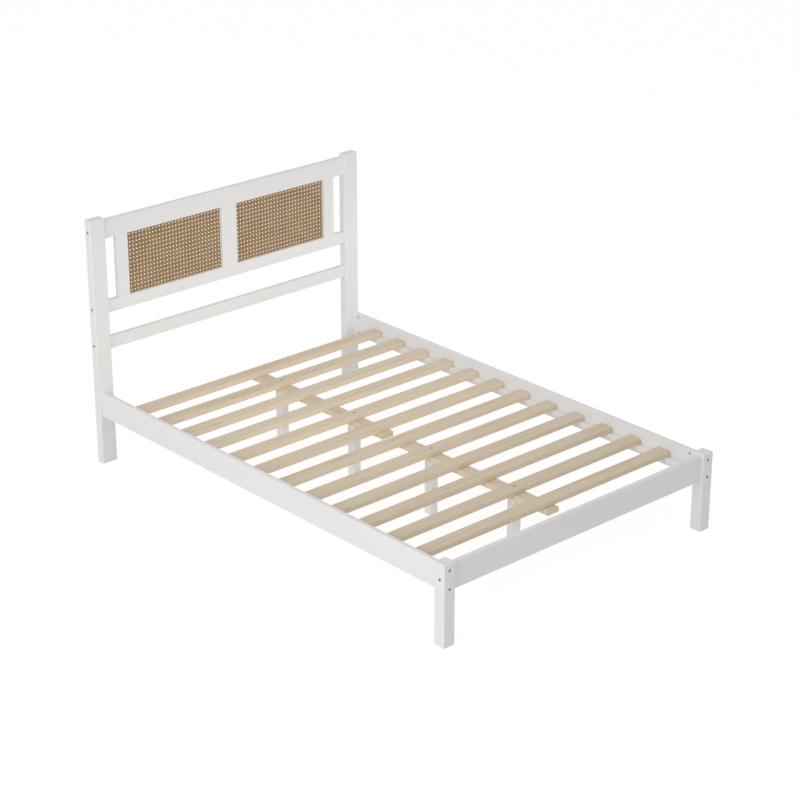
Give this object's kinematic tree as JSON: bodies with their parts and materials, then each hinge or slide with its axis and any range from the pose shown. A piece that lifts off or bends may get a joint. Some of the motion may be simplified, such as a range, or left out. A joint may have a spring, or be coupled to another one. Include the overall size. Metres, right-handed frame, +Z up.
{
  "type": "platform bed",
  "caption": "White pine platform bed: low side and foot rails on square legs, natural slats over two centre beams, and a tall headboard with two cane panels.",
  "frame": {"origin": "on the floor under the middle of the bed, the bottom centre of its box", "axes": "+Z up, +Y towards the headboard, +X to the right as seen from the foot end"},
  "size_m": [1.45, 2.16, 1.084],
  "materials": {
    "white_paint": "satin white paint over pine",
    "natural_pine": "bare sanded pine",
    "cane": "woven cane, natural",
    "beech": "bare turned beech",
    "zinc_steel": "dull zinc plating"
  },
  "bodies": {
    "root": {"bead_left_bottom": "white_paint", "bead_left_inner": "white_paint", "bead_left_outer": "white_paint", "bead_left_top": "white_paint", "bead_right_bottom": "white_paint", "bead_right_inner": "white_paint", "bead_right_outer": "white_paint", "bead_right_top": "white_paint", "cane_panel_left": "cane", "cane_panel_right": "cane", "centre_beam_foot": "natural_pine", "centre_beam_head": "natural_pine", "centre_leg_1": "white_paint", "centre_leg_2": "white_paint", "centre_leg_3": "white_paint", "centre_leg_4": "white_paint", "centre_leg_bolts": "zinc_steel", "centre_leg_inserts": "zinc_steel", "foot_leg_left": "white_paint", "foot_leg_right": "white_paint", "foot_rail": "white_paint", "head_post_left": "white_paint", "head_post_right": "white_paint", "headboard_barrel_nuts": "zinc_steel", "headboard_bolts": "zinc_steel", "headboard_dowels": "beech", "headboard_lower_rail": "white_paint", "headboard_middle_rail": "white_paint", "headboard_stile_centre": "white_paint", "headboard_stile_left": "white_paint", "headboard_stile_right": "white_paint", "headboard_top_rail": "white_paint", "ledger_left": "white_paint", "ledger_right": "white_paint", "ledger_screws": "zinc_steel", "leg_bolts": "zinc_steel", "post_bolts": "zinc_steel", "rail_barrel_nuts": "zinc_steel", "rail_dowels": "beech", "side_rail_left": "white_paint", "side_rail_right": "white_paint", "slat_01": "natural_pine", "slat_02": "natural_pine", "slat_03": "natural_pine", "slat_04": "natural_pine", "slat_05": "natural_pine", "slat_06": "natural_pine", "slat_07": "natural_pine", "slat_08": "natural_pine", "slat_09": "natural_pine", "slat_10": "natural_pine", "slat_11": "natural_pine", "slat_12": "natural_pine", "slat_pins": "beech", "stile_dowels": "beech"}
  },
  "joints": []
}
